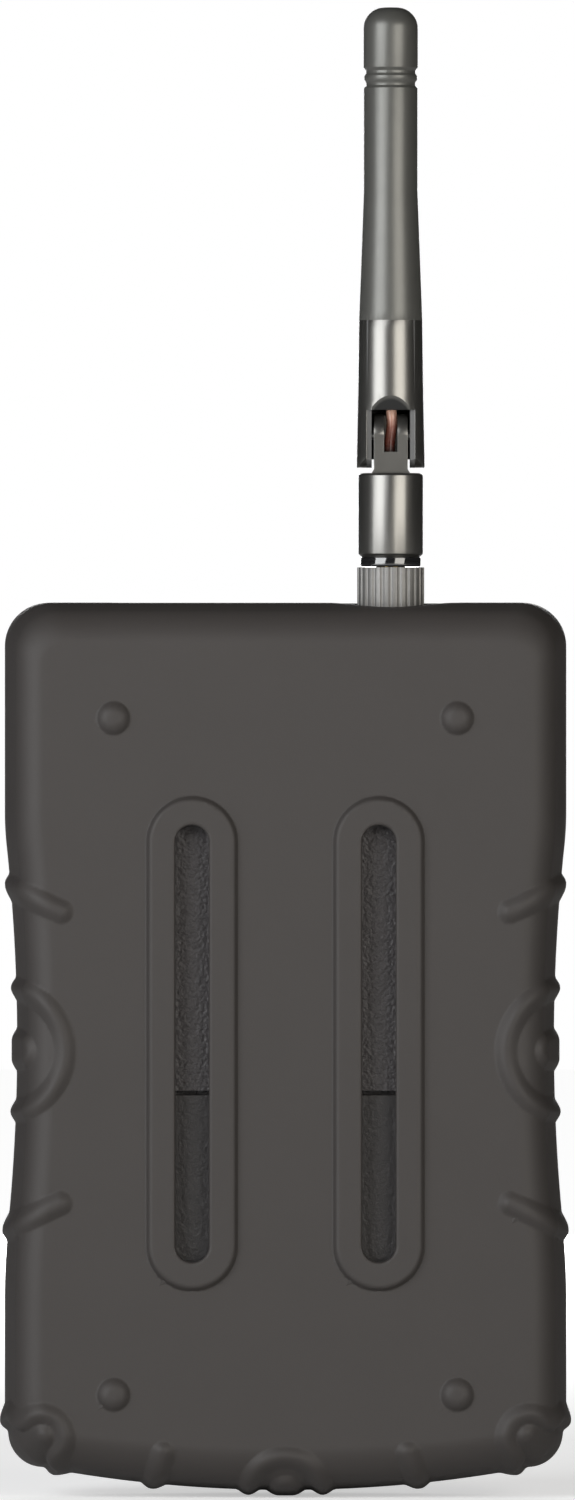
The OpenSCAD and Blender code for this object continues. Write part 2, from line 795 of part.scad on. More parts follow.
// Brass tube of the lower half and the wire of the upper half.
module antenna_element() {
  color("#c9a24a")
  difference() {
    union() {
      rod_z(ant_x, mid_y, sleeve_z0 + 6.3, 207, 1.8);
      rod_z(ant_x, mid_y, 206.5, 225, 0.4);
    }
    rod_z(ant_x, mid_y, sleeve_z0 + 5, 200, 0.95);
  }
}

module antenna_coax() {
  color("#8a4a35") rod_z(ant_x, mid_y, 147.1, 195, coax_r);
}

// ---------- front controls ----------

module key_cap(z, r) {
  translate([0, 0, z]) rotate([-90, 0, 0]) rotate_extrude()
    polygon([[0, 11.25], [r + 1, 11.25], [r + 1, front_inner_y - gap], [r, front_inner_y - gap],
             [r, key_top_y - 0.5], [r - 0.5, key_top_y], [0, key_top_y]]);
}

module mute_button() { color("#c9433a") key_cap(mute_z, mute_r); }

module channel_button() { color("#9b9da0") key_cap(channel_z, channel_r); }

module mute_plunger() { color("#202020") rod_y(0, mute_z, 9.4, 11.2, 1.7); }

module channel_plunger() { color("#202020") rod_y(0, channel_z, 9.4, 11.2, 1.7); }

module button_switches() {
  color("#303030")
  for (z = [mute_z, channel_z])
    difference() {
      block([-3, board_y1, z - 3], [3, board_y1 + 2, z + 3]);
      rod_y(0, z, board_y1 + 0.5, board_y1 + 3, 1.8);
    }
}

module status_leds() {
  color("#9be08c")
  for (x = led_xs) block([x - 0.8, board_y1, led_z - 0.8], [x + 0.8, board_y1 + 0.8, led_z + 0.8]);
}

module light_pipes() {
  color("#dfe6e2")
  for (x = led_xs) rod_y(x, led_z, board_y1 + 1, case_y1, 1.5);
}

boot();
case_rear();
case_front();
battery_door();
top_panel();
front_overlay();
case_screws();
board_screws();
switch_screws();
main_board();
board_chips();
rf_board();
rf_shield();
pigtail_coax();
battery_cells();
battery_contacts();
contact_springs();
jack_body();
jack_bushing();
jack_nut();
jack_washer();
jack_contacts();
power_switch_body();
power_switch_slider();
antenna_jack();
antenna_jack_insulator();
antenna_jack_pin();
antenna_jack_nut();
antenna_jack_washer();
antenna_nut();
antenna_ferrule();
antenna_contact();
antenna_insulator();
antenna_collar();
antenna_knuckle();
hinge_pins();
antenna_fork();
antenna_sleeve();
antenna_element();
antenna_coax();
mute_button();
mute_plunger();
channel_button();
channel_plunger();
button_switches();
status_leds();
light_pipes();
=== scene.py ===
import math
import bmesh
import bpy
import numpy as np
import openvdb
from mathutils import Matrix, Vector


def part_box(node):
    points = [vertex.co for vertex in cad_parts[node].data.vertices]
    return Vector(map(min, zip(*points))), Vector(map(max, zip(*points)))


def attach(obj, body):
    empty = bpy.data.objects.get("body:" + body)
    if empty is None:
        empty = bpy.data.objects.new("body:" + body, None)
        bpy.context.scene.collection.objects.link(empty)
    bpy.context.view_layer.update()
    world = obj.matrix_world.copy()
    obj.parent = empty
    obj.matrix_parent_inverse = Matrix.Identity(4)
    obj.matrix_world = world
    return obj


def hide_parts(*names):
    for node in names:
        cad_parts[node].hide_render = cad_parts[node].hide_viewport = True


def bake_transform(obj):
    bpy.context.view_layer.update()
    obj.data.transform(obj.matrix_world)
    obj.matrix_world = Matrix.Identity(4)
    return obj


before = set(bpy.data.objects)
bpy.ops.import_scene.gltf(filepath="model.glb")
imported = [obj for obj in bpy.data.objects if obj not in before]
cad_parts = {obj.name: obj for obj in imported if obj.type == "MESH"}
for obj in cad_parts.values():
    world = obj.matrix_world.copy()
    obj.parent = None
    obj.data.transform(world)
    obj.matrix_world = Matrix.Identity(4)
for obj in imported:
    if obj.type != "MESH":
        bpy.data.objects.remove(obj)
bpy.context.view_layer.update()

# ---------- camera, floor and studio light ----------
# The camera looks squarely at the rear face from far away with a long lens, so the object
# shows almost no perspective. It stands on a wide pale card, between two large soft lights
# at the sides and a third one behind it.
VIEW_HEIGHT = 0.2325
CAMERA_DISTANCE = 3.0
CAMERA_X, CAMERA_Z = 0.0003, 0.1155
SENSOR_HEIGHT = 36
FLOOR_RADIUS = 4.0
MIDDLE_Z = 0.11
camera_data = bpy.data.cameras.new("camera")
camera = bpy.data.objects.new("camera", camera_data)
bpy.context.collection.objects.link(camera)
camera_data.sensor_fit = "VERTICAL"
camera_data.sensor_height = SENSOR_HEIGHT
camera_data.lens = SENSOR_HEIGHT * CAMERA_DISTANCE / VIEW_HEIGHT
camera_data.clip_end = 20
camera.location = (CAMERA_X, -CAMERA_DISTANCE, CAMERA_Z)
camera.rotation_euler = (math.radians(90), 0, 0)
bpy.context.scene.camera = camera


def add_node(tree, kind, **values):
    """Adds a shader node, and sets its properties and the inputs of the given names."""
    node = tree.nodes.new(kind)
    for key, value in values.items():
        if hasattr(node, key):
            setattr(node, key, value)
        else:
            node.inputs[key.replace("_", " ")].default_value = value
    return node


def card_material():
    """Pale matt floor card. The lens sees its far part glow, and it lights nothing itself."""
    card = bpy.data.materials.new("pale_card")
    card.use_nodes = True
    tree = card.node_tree
    shader = tree.nodes["Principled BSDF"]
    shader.inputs["Base Color"].default_value = (0.82, 0.82, 0.82, 1)
    shader.inputs["Roughness"].default_value = 0.9
    shader.inputs["Emission Color"].default_value = (1, 1, 1, 1)
    place = add_node(tree, "ShaderNodeTexCoord")
    away = add_node(tree, "ShaderNodeVectorMath", operation="LENGTH")
    glow = add_node(tree, "ShaderNodeMapRange", From_Min=0.25, From_Max=1.1, To_Min=0.45,
                    To_Max=0.95)
    ray = add_node(tree, "ShaderNodeLightPath")
    seen = add_node(tree, "ShaderNodeMath", operation="MULTIPLY")
    link = tree.links.new
    link(place.outputs["Object"], away.inputs[0])
    link(away.outputs["Value"], glow.inputs["Value"])
    link(glow.outputs["Result"], seen.inputs[0])
    link(ray.outputs["Is Camera Ray"], seen.inputs[1])
    link(seen.outputs["Value"], shader.inputs["Emission Strength"])
    return card


def floor():
    """Round floor card under the object."""
    card = bmesh.new()
    bmesh.ops.create_circle(card, cap_ends=True, segments=96, radius=FLOOR_RADIUS)
    mesh = bpy.data.meshes.new("floor_card")
    card.to_mesh(mesh)
    card.free()
    piece = bpy.data.objects.new("floor_card", mesh)
    bpy.context.collection.objects.link(piece)
    mesh.materials.append(card_material())


def studio_air():
    """Dim even light from all round, which the lens sees as a white background."""
    studio = bpy.data.worlds.new("studio")
    studio.use_nodes = True
    tree = studio.node_tree
    seen = tree.nodes["Background"]
    seen.inputs["Color"].default_value = (1, 1, 1, 1)
    seen.inputs["Strength"].default_value = 1.0
    dim = add_node(tree, "ShaderNodeBackground", Color=(1, 1, 1, 1), Strength=0.02)
    ray = add_node(tree, "ShaderNodeLightPath")
    pick = add_node(tree, "ShaderNodeMixShader")
    link = tree.links.new
    link(ray.outputs["Is Camera Ray"], pick.inputs[0])
    link(dim.outputs["Background"], pick.inputs[1])
    link(seen.outputs["Background"], pick.inputs[2])
    link(pick.outputs["Shader"], tree.nodes["World Output"].inputs["Surface"])
    bpy.context.scene.world = studio


def soft_box(name, azimuth, elevation, distance, width, height, power, tint):
    """Rectangular soft light aimed at the middle of the object. Azimuth 0 is at the camera."""
    aim = Vector((0, 0, MIDDLE_Z))
    a, e = math.radians(azimuth), math.radians(elevation)
    away = Vector((math.sin(a) * math.cos(e), -math.cos(a) * math.cos(e), math.sin(e)))
    light = bpy.data.lights.new(name, "AREA")
    light.shape = "RECTANGLE"
    light.size, light.size_y = width, height
    light.energy = power
    light.color = tint
    lamp = bpy.data.objects.new(name, light)
    bpy.context.collection.objects.link(lamp)
    lamp.location = aim + distance * away
    lamp.rotation_euler = (-away).to_track_quat("-Z", "Y").to_euler()


floor()
studio_air()
cool, warm, white = (0.97, 0.985, 1.0), (1.0, 0.965, 0.90), (1.0, 1.0, 1.0)
soft_box("left_box", -42, 11, distance=1.0, width=0.75, height=0.8, power=10.5, tint=cool)
soft_box("right_box", 33, 4, distance=1.1, width=0.75, height=0.8, power=8.5, tint=warm)
soft_box("rear_box", 180, 4, distance=1.6, width=0.5, height=0.6, power=9, tint=white)
bpy.context.scene.view_settings.view_transform = "Standard"

# ---------- antenna coax ----------
# Thin red-brown coax of the antenna. It runs through the knuckle, crosses the hinge in the
# tongue's open groove and goes up inside the fork.
MM = 0.001
TINT, SHADE, TINTED = 6, 7, 2  # a colour mix node's two colour inputs, and its colour output
nut_low, nut_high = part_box("antenna_nut")
pins_low, pins_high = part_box("hinge_pins")
coax_low, coax_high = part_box("antenna_coax")
ANTENNA_X = (nut_low.x + nut_high.x) / 2
ANTENNA_Y = (nut_low.y + nut_high.y) / 2
PIVOT_Z = (pins_low.z + pins_high.z) / 2


def surface(name, colour, roughness, metallic=0.0, mottle=0.06, mottle_size=4.0, grain=0.3,
            grain_height=0.01, rough_spread=0.08, specular=0.5, coat=0.0):
    """A finish whose colour is mottled over mottle_size, and whose grain, grain_height deep,
    has features about grain across. All three sizes are in millimetres."""
    material = bpy.data.materials.new(name)
    material.use_nodes = True
    tree = material.node_tree
    shader = tree.nodes["Principled BSDF"]
    place = add_node(tree, "ShaderNodeTexCoord")
    broad = add_node(tree, "ShaderNodeTexNoise", Scale=1 / (mottle_size * MM), Detail=3.0)
    fine = add_node(tree, "ShaderNodeTexNoise", Scale=1 / (grain * MM), Detail=4.0)
    shade = add_node(tree, "ShaderNodeMapRange", To_Min=1 - mottle, To_Max=1 + mottle)
    tinted = add_node(tree, "ShaderNodeMix", data_type="RGBA", blend_type="MULTIPLY", Factor=1)
    tinted.inputs[TINT].default_value = (*colour, 1)
    polish = add_node(tree, "ShaderNodeMapRange", To_Min=max(0.02, roughness - rough_spread),
                      To_Max=min(1.0, roughness + rough_spread))
    bump = add_node(tree, "ShaderNodeBump", Strength=1.0, Distance=grain_height * MM)
    link = tree.links.new
    link(place.outputs["Object"], broad.inputs["Vector"])
    link(place.outputs["Object"], fine.inputs["Vector"])
    link(broad.outputs["Fac"], shade.inputs["Value"])
    link(shade.outputs["Result"], tinted.inputs[SHADE])
    link(tinted.outputs[TINTED], shader.inputs["Base Color"])
    link(fine.outputs["Fac"], polish.inputs["Value"])
    link(polish.outputs["Result"], shader.inputs["Roughness"])
    link(fine.outputs["Fac"], bump.inputs["Height"])
    link(bump.outputs["Normal"], shader.inputs["Normal"])
    shader.inputs["Metallic"].default_value = metallic
    shader.inputs["Specular IOR Level"].default_value = specular
    shader.inputs["Coat Weight"].default_value = coat
    return material


def coax_mesh():
    """Tube through the hinge that bows a little towards the rear, with many rings along it."""
    radius, rings, sides = 0.85 * MM, 64, 20
    bow, sway, wave, spread = 0.35 * MM, 0.25 * MM, 1.6 * MM, 4 * MM
    bottom, top = coax_low.z, coax_high.z
    verts = []
    for i in range(rings + 1):
        z = bottom + (top - bottom) * i / rings
        near = math.exp(-((z - PIVOT_Z) / spread) ** 2)
        for k in range(sides):
            a = 2 * math.pi * k / sides
            x = ANTENNA_X + sway * near * math.sin((z - PIVOT_Z) / wave)
            y = ANTENNA_Y - bow * near
            verts.append((x + radius * math.cos(a), y + radius * math.sin(a), z))
    faces = []
    for i in range(rings):
        for k in range(sides):
            n = (k + 1) % sides
            faces.append((i * sides + k, i * sides + n, (i + 1) * sides + n, (i + 1) * sides + k))
    faces.append(tuple(reversed(range(sides))))
    faces.append(tuple(rings * sides + k for k in range(sides)))
    mesh = bpy.data.meshes.new("antenna_coax_jacket")
    mesh.from_pydata(verts, [], faces)
    mesh.shade_smooth()
    return mesh


def paint_coax_light_and_shade(jacket):
    """Painted light and shade along the jacket: pale towards the top where it leaves the fork, near
    black lower down in the groove.
    """
    tree = jacket.node_tree
    place = add_node(tree, "ShaderNodeTexCoord")
    axes = add_node(tree, "ShaderNodeSeparateXYZ")
    height = add_node(tree, "ShaderNodeMapRange", From_Min=PIVOT_Z - 2.7 * MM,
                      From_Max=PIVOT_Z + 3.6 * MM)
    tones = add_node(tree, "ShaderNodeValToRGB")
    stops = tones.color_ramp.elements
    # Painted shade at the dark bottom stop, painted light at the pale top stop.
    stops[0].color = (0.03, 0.012, 0.010, 1)
    stops[1].color = (0.72, 0.43, 0.32, 1)
    for position, colour in ((0.25, (0.20, 0.045, 0.03, 1)), (0.62, (0.34, 0.12, 0.085, 1))):
        stops.new(position).color = colour
    tinted = next(node for node in tree.nodes if node.type == "MIX")
    link = tree.links.new
    link(place.outputs["Object"], axes.inputs["Vector"])
    link(axes.outputs["Z"], height.inputs["Value"])
    link(height.outputs["Result"], tones.inputs["Fac"])
    link(tones.outputs["Color"], tinted.inputs[TINT])


coax_jacket = surface("coax_jacket", (0.33, 0.11, 0.075), 0.28, mottle=0.2, mottle_size=1.5,
                      grain=0.4, grain_height=0.01, coat=0.2)
paint_coax_light_and_shade(coax_jacket)
coax = bpy.data.objects.new("antenna_coax_jacket", coax_mesh())
bpy.context.collection.objects.link(coax)
coax.data.materials.append(coax_jacket)
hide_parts("antenna_coax")
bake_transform(coax)

# ---------- rubber boot ----------
# One-piece moulded silicone boot, pulled over the case and held by a lip round its front.
# Grip ribs run round the sides and the sole, and two raised pads with through slots,
# and four domed nubs, stand on its rear face.
boot_low, boot_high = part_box("boot")
VOXEL = 0.4
NUB_H, RIB_H, PAD_H = 1.2, 0.85, 1.0
REAR_Y = boot_low.y / MM + NUB_H
FRONT_Y = boot_high.y / MM
TOP_Z = boot_high.z / MM
SIDE_X = 43.5
WAIST_IN, WAIST_R, WAIST_Z = 1.9, 287.0, 70.2
SOLE_R = 206.0
LEAN, LEAN_Y, TOP_LEAN_Y = 2.6, -1.0, -7.6
SOLE_AXIS_Z = RIB_H + SOLE_R
CASE_X = 38.5
CASE_Z = (6.6, TOP_Z - 3.8)
CASE_Y = (REAR_Y + 3.0, FRONT_Y - 3.0)
CASE_GAP = 0.08
SLOT_X, SLOT_Z, SLOT_W, SLOT_L = 14.4, 70.2, 5.2, 67.4
PAD_W = 14.1
NUB_X, NUB_TOP_Z, NUB_LOW_Z, NUB_R = 26.5, 120.4, 16.1, 2.6
REAR_R, FRONT_R, SOLE_CORNER_R, TOP_CORNER_R = 3.6, 2.6, 7.0, 6.7
OPENING_X, OPENING_Z, OPENING_R = 33.5, 13, 5
WINDOW_X, WINDOW_Y, WINDOW_R = 29, 8, 4
SCALLOP_R, SCALLOP_DEPTH = 35.35, 0.7


def ease(start, end, value):
    """0 before start, 1 after end, and a smooth S between."""
    t = np.clip((value - start) / (end - start), 0, 1)
    return t * t * (3 - 2 * t)


def both(a, b, r):
    """Distance to what lies inside a and b, with the edge between them rounded to radius r."""
    corner = np.hypot(np.maximum(a + r, 0), np.maximum(b + r, 0))
    return np.minimum(np.maximum(a, b), -r) + corner


def shoulder(inside, run):
    """Rounded shoulder: 0 at the foot, steep there, and 1 once inside has grown to run."""
    return 1 - (1 - np.clip(inside / run, 0, 1)) ** 2.4


def soft_min(a, b, k):
    """The smaller of a and b, with the change between them smoothed over k."""
    near = np.maximum(k - np.abs(a - b), 0) / k
    return np.minimum(a, b) - near * near * k / 4


def oblong(x, z, width, length):
    """Distance to an upright oblong with round ends, centred on the origin."""
    straight = (length - width) / 2
    return np.hypot(x, np.maximum(np.abs(z) - straight, 0)) - width / 2


def bar(x, z, end_x, end_z, angle, width):
    """Distance to a bar with a round end, running on from there in the direction of angle."""
    a = math.radians(angle)
    along = (x - end_x) * math.cos(a) + (z - end_z) * math.sin(a)
    across = (z - end_z) * math.cos(a) - (x - end_x) * math.sin(a)
    return np.hypot(across, np.minimum(along, 0)) - width / 2


def ring(x, z, centre_x, centre_z, radius, width):
    """Distance to a ring of this width."""
    return np.abs(np.hypot(x - centre_x, z - centre_z) - radius) - width / 2


def rib_height(x, y, z):
    """How far the ribs stand out, for x on the right half. The bullseye on the corner of the
    sole narrows as it wraps round on to the rear face."""
    wrap = ease(-9, -15.5, y)
    eye_x, eye_z = 39.5 - 1.9 * wrap, 7.9 + 1.6 * wrap
    shapes = [
        ring(x, z, 43.6, 69.1, 9.6, 3.1),  # bullseye on the waist
        np.hypot(x - 41.8, z - 69.1) - 3.1,
        bar(x, z, 34.6, 90.6, 24, 3.4),  # bars over and under it
        bar(x, z, 34.7, 45.6, -25, 3.4),
        bar(x, z, 18.9, 7.0, -73, 3.4),  # bar on the sole
        np.hypot(x - eye_x, z - eye_z) - 3.7 + 1.9 * wrap,  # bullseye on the corner
        ring(x, z, eye_x, eye_z, 5.95 - 2.3 * wrap, 2.9),
        np.hypot(x, z - 0.6) - 2.8,  # bullseye in the middle of the sole
        ring(x, z, 0, 0.6, 5.8, 3.1),
    ]
    inside = -np.minimum.reduce(shapes)
    return RIB_H * (shoulder(inside + 0.25, 1.8) + ease(-0.25, 1.55, inside)) / 2


def nub_height(x, z):
    """How far the domed nubs stand out, for x on the right half."""
    away = np.minimum(np.hypot(x - NUB_X, z - NUB_TOP_Z), np.hypot(x - NUB_X, z - NUB_LOW_Z))
    return NUB_H * shoulder(NUB_R - away, 2.2)


def boot_outside(x, y, z):
    """Distance to the outside of the boot: waisted sides, a bowed sole, and its relief. The
    side, sole and top lean in a little towards the rear, which makes a soft shoulder."""
    right = np.abs(x)
    hollow = SIDE_X - WAIST_IN + WAIST_R - np.sqrt(WAIST_R ** 2 - (z - WAIST_Z) ** 2)
    lean = np.clip((LEAN_Y - y) / (LEAN_Y - REAR_Y), 0, 1.2) ** 1.6
    top_lean = np.clip((TOP_LEAN_Y - y) / (TOP_LEAN_Y - REAR_Y), 0, 1.2) ** 1.6
    side = right - soft_min(hollow, SIDE_X, np.where(z > WAIST_Z, 0.3, 0.8)) + LEAN * lean
    sole = SOLE_AXIS_Z - np.sqrt(SOLE_R ** 2 - right ** 2) - z + 0.8 * LEAN * lean
    top = z - TOP_Z + 1.15 * LEAN * top_lean
    outline = both(both(side, sole, SOLE_CORNER_R), top, TOP_CORNER_R)
    skin = both(outline, REAR_Y - y, REAR_R + 1.4 * ease(17, 6, z))
    skin = both(skin, y - FRONT_Y, FRONT_R)
    pad_length = SLOT_L + PAD_W - SLOT_W
    pad = PAD_H * shoulder(-oblong(right - SLOT_X, z - SLOT_Z, PAD_W, pad_length), 0.95)
    relief = np.maximum(pad, nub_height(right, z)) * ease(-2, -6, y)
    ribs = rib_height(right, y, z) * ease(FRONT_Y - 3.3, FRONT_Y - 4.8, y)
    return skin - np.maximum(relief, ribs)


def boot_distance(x, y, z):
    """Signed distance, in millimetres, to the boot's surface. It is negative in the rubber.
    The room for the case, the openings and the scoop beside the antenna are taken out."""
    right = np.abs(x)
    skin = boot_outside(x, y, z)
    room = both(right - CASE_X - CASE_GAP, CASE_Z[0] - CASE_GAP - z, 6)
    room = both(room, z - CASE_Z[1] - CASE_GAP, 4)
    room = np.maximum(room, np.maximum(CASE_Y[0] - CASE_GAP - y, y - CASE_Y[1] - CASE_GAP))
    skin = np.maximum(skin, -room)
    opening = both(both(right - OPENING_X, OPENING_Z - z, OPENING_R), z - (CASE_Z[1] - 6.5),
                   OPENING_R)
    skin = both(skin, -np.maximum(opening, CASE_Y[1] - 1 - y), 1.1)
    slot = oblong(right - SLOT_X, z - SLOT_Z, SLOT_W, SLOT_L)
    skin = both(skin, -np.maximum(slot, y - CASE_Y[0] - 0.6), 0.4)
    middle_y = (CASE_Y[0] + CASE_Y[1]) / 2
    window = both(right - WINDOW_X, np.abs(y - middle_y) - WINDOW_Y, WINDOW_R)
    skin = both(skin, -np.maximum(window, CASE_Z[1] - 1 - z), 0.8)
    scallop_z = TOP_Z - SCALLOP_DEPTH + SCALLOP_R
    scallop = np.hypot(x - ANTENNA_X / MM, z - scallop_z) - SCALLOP_R
    return both(skin, -np.maximum(scallop, y - middle_y), 0.6)


def boot_slope(points, step):
    """How fast the distance grows along each axis at each point, measured over two steps."""
    slope = np.empty_like(points)
    for axis in range(3):
        ahead, behind = points.copy(), points.copy()
        ahead[:, axis] += step
        behind[:, axis] -= step
        slope[:, axis] = (boot_distance(*ahead.T) - boot_distance(*behind.T)) / (2 * step)
    return slope


def corner_normals(mesh, points, slope):
    """The field's slope at every face corner, except that a wide flat face which touches the
    foot of a pad or rib keeps its own normal there."""
    corner_vertex = np.empty(len(mesh.loops), np.int64)
    mesh.loops.foreach_get("vertex_index", corner_vertex)
    face_start = np.empty(len(mesh.polygons), np.int64)
    mesh.polygons.foreach_get("loop_start", face_start)
    face_normal = np.empty(3 * len(mesh.polygons))
    mesh.polygons.foreach_get("normal", face_normal)
    face_size = np.diff(face_start, append=len(corner_vertex))
    face = np.repeat(np.arange(len(face_start)), face_size)
    here = points[corner_vertex]
    onward = np.arange(len(here)) + 1
    onward[face_start + face_size - 1] = face_start
    edge = np.linalg.norm(points[corner_vertex[onward]] - here, axis=1)
    longest = np.maximum.reduceat(edge, face_start)[face]
    normals = slope[corner_vertex]
    flat = face_normal.reshape(-1, 3)[face]
    own = (longest > 2 * VOXEL) & ((normals * flat).sum(axis=1) < 0.97)
    normals[own] = flat[own]
    return normals


def boot_mesh():
    """Meshes the boot from its distance field, then moves each point onto the true surface."""
    margin = 4 * VOXEL
    start = np.array([boot_low.x, boot_low.y, boot_low.z]) / MM - margin
    end = np.array([boot_high.x, boot_high.y, boot_high.z]) / MM + margin
    axes = [np.arange(a, b, VOXEL) for a, b in zip(start, end)]
    field = np.empty([len(a) for a in axes], np.float32)
    layers = 40
    for k in range(0, len(axes[2]), layers):
        x, y, z = np.meshgrid(axes[0], axes[1], axes[2][k:k + layers], indexing="ij")
        field[:, :, k:k + layers] = boot_distance(x, y, z)
    field = np.clip(field, -3 * VOXEL, 3 * VOXEL)
    grid = openvdb.FloatGrid(3 * VOXEL)
    grid.copyFromArray(field)
    points, triangles, quads = grid.convertToPolygons(isovalue=0.0, adaptivity=0.00005)
    points = points.astype(np.float64) * VOXEL + start
    slope = boot_slope(points, VOXEL / 3)
    steep = np.maximum((slope ** 2).sum(axis=1), 0.5)
    off = np.clip(boot_distance(*points.T), -VOXEL / 3, VOXEL / 3)
    points -= slope * (off / steep)[:, None]
    slope = boot_slope(points, VOXEL / 2)
    slope /= np.maximum(np.linalg.norm(slope, axis=1, keepdims=True), 1e-9)
    faces = [tuple(reversed(face)) for face in triangles.tolist() + quads.tolist()]
    mesh = bpy.data.meshes.new("boot_skin")
    mesh.from_pydata((points * MM).tolist(), [], faces)
    mesh.update()
    first = mesh.polygons[0]
    if np.dot(np.array(first.normal), slope[first.vertices[0]]) < 0:
        mesh.flip_normals()
    mesh.shade_smooth()
    mesh.normals_split_custom_set(corner_normals(mesh, points, slope).tolist())
    return mesh


def add_object(name, mesh, body):
    """Adds a piece that rides on a body."""
    piece = bpy.data.objects.new(name, mesh)
    bpy.context.collection.objects.link(piece)
    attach(piece, body)
    return piece


boot_rubber = surface("boot_rubber", (0.042, 0.0375, 0.0355), 0.60, mottle=0.05, mottle_size=14,
                      grain=0.22, grain_height=0.012, rough_spread=0.06, specular=0.4)
boot = add_object("boot_skin", boot_mesh(), "transmitter")
boot.data.materials.append(boot_rubber)
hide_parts("boot")

# ---------- hard case, battery door and end panel ----------
# Two moulded halves with a spark-grained skin meet at the middle and are screwed together.
# The door below them is smoother, and the end panel is a flat plate held in grooves.


def dress(node, material, bevel=0.0, angle=35):
    """Gives a CAD node its finish and, where bevel is set, small rounded edges in millimetres."""
    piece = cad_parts[node]
    piece.data.materials.clear()
    piece.data.materials.append(material)
    weld = piece.modifiers.new("weld", "WELD")
    weld.merge_threshold = 0.002 * MM
    if bevel:
        edges = piece.modifiers.new("edges", "BEVEL")
        edges.width = bevel * MM
        edges.segments = 3
        edges.limit_method = "ANGLE"
        edges.angle_limit = math.radians(angle)
        edges.harden_normals = True
        edges.use_clamp_overlap = True


case_skin = surface("case_skin", (0.046, 0.041, 0.042), 0.46, mottle=0.35, mottle_size=0.9,
                    grain=0.62, grain_height=0.30, rough_spread=0.14)
door_skin = surface("door_skin", (0.028, 0.025, 0.025), 0.46, mottle=0.25, mottle_size=1.2,
                    grain=0.6, grain_height=0.12)
panel_skin = surface("panel_skin", (0.022, 0.022, 0.024), 0.45, mottle=0.08, grain=0.25,
                     grain_height=0.02)
overlay_film = surface("overlay_film", (0.018, 0.021, 0.026), 0.36, mottle=0.05, mottle_size=10,
                       grain=0.15, grain_height=0.006)
dress("case_rear", case_skin, 0.25)
dress("case_front", case_skin, 0.3)
dress("battery_door", door_skin, 0.2)
dress("top_panel", panel_skin, 0.15)
dress("front_overlay", overlay_film, 0.08)

# ---------- printing on the front overlay ----------
# Silver ink printed on the film: a thin frame line, a ring round each key, and a short dash
# over each light. The ink is a raised layer a few hundredths of a millimetre thick.
film_low, film_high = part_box("front_overlay")
lights_low, lights_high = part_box("light_pipes")
INK_T = 0.04 * MM
INK_W = 0.45 * MM
FRAME_INSET, FRAME_R = 2.2 * MM, 2 * MM
LIGHT_PITCH = 12 * MM
DASH_LIFT, DASH_W, DASH_H = 2.6 * MM, 2.4 * MM, 0.25 * MM


def round_box(half_w, half_h, r, sides=10):
    """Points round a rectangle with round corners, centred on the origin."""
    points = []
    for corner in range(4):
        sx, sz = ((1, 1), (-1, 1), (-1, -1), (1, -1))[corner]
        for k in range(sides + 1):
            a = math.radians(90 * corner + 90 * k / sides)
            points.append((sx * (half_w - r) + r * math.cos(a), sz * (half_h - r) + r * math.sin(a)))
    return points


def ink_loop(card, centre_x, centre_z, half_w, half_h, r):
    """Adds one closed printed line to the bmesh card, raised off the film."""
    rims = []
    for grow, lift in ((0, 0), (0, INK_T), (-INK_W, INK_T), (-INK_W, 0)):
        rim = []
        for px, pz in round_box(half_w + grow, half_h + grow, max(r + grow, 0.01 * MM)):
            rim.append(card.verts.new((centre_x + px, film_high.y + lift, centre_z + pz)))
        rims.append(rim)
    count = len(rims[0])
    for a, b in zip(rims, rims[1:] + rims[:1]):
        for k in range(count):
            n = (k + 1) % count
            card.faces.new((a[k], a[n], b[n], b[k]))


def overlay_ink():
    """All the printed lines in one mesh."""
    card = bmesh.new()
    middle_x = (film_low.x + film_high.x) / 2
    middle_z = (film_low.z + film_high.z) / 2
    half_w = (film_high.x - film_low.x) / 2 - FRAME_INSET
    half_h = (film_high.z - film_low.z) / 2 - FRAME_INSET
    ink_loop(card, middle_x, middle_z, half_w, half_h, FRAME_R)
    for key, gap in (("mute_button", 1.6 * MM), ("channel_button", 1.4 * MM)):
        key_low, key_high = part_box(key)
        r = (key_high.z - key_low.z) / 2 + gap
        ink_loop(card, (key_low.x + key_high.x) / 2, (key_low.z + key_high.z) / 2, r, r, r)
    for x in (-LIGHT_PITCH, 0, LIGHT_PITCH):
        ink_loop(card, x, lights_high.z + DASH_LIFT, DASH_W, DASH_H, 0.24 * MM)
    bmesh.ops.recalc_face_normals(card, faces=card.faces)
    mesh = bpy.data.meshes.new("overlay_ink")
    card.to_mesh(mesh)
    card.free()
    return mesh


silver_ink = surface("silver_ink", (0.42, 0.43, 0.44), 0.5, metallic=0.2, mottle=0.08, mottle_size=1.5,
                     grain=0.2, grain_height=0.004)
ink = add_object("overlay_ink", overlay_ink(), "transmitter")
ink.data.materials.append(silver_ink)

# ---------- coupling nut and its connector ----------
# Nickel-plated brass nut with straight flutes, which screws the antenna down onto the gold
# plated bulkhead jack in the end panel.
nickel = surface("satin_nickel", (0.26, 0.255, 0.247), 0.58, metallic=0.8, mottle=0.12, mottle_size=1.2,
                 grain=0.2, grain_height=0.012, rough_spread=0.10)
gold = surface("gold_plate", (0.80, 0.58, 0.24), 0.26, metallic=1.0, mottle=0.08, mottle_size=2,
               grain=0.3, grain_height=0.006)
white_ptfe = surface("white_ptfe", (0.80, 0.79, 0.76), 0.4, mottle=0.04, grain=0.3, grain_height=0.005)
dress("antenna_nut", nickel, 0.05)
for name in ("antenna_jack", "antenna_jack_nut", "antenna_jack_washer", "antenna_ferrule",
             "antenna_contact", "antenna_jack_pin", "antenna_element"):
    dress(name, gold, 0.05)
for name in ("antenna_jack_insulator", "antenna_insulator"):
    dress(name, white_ptfe)

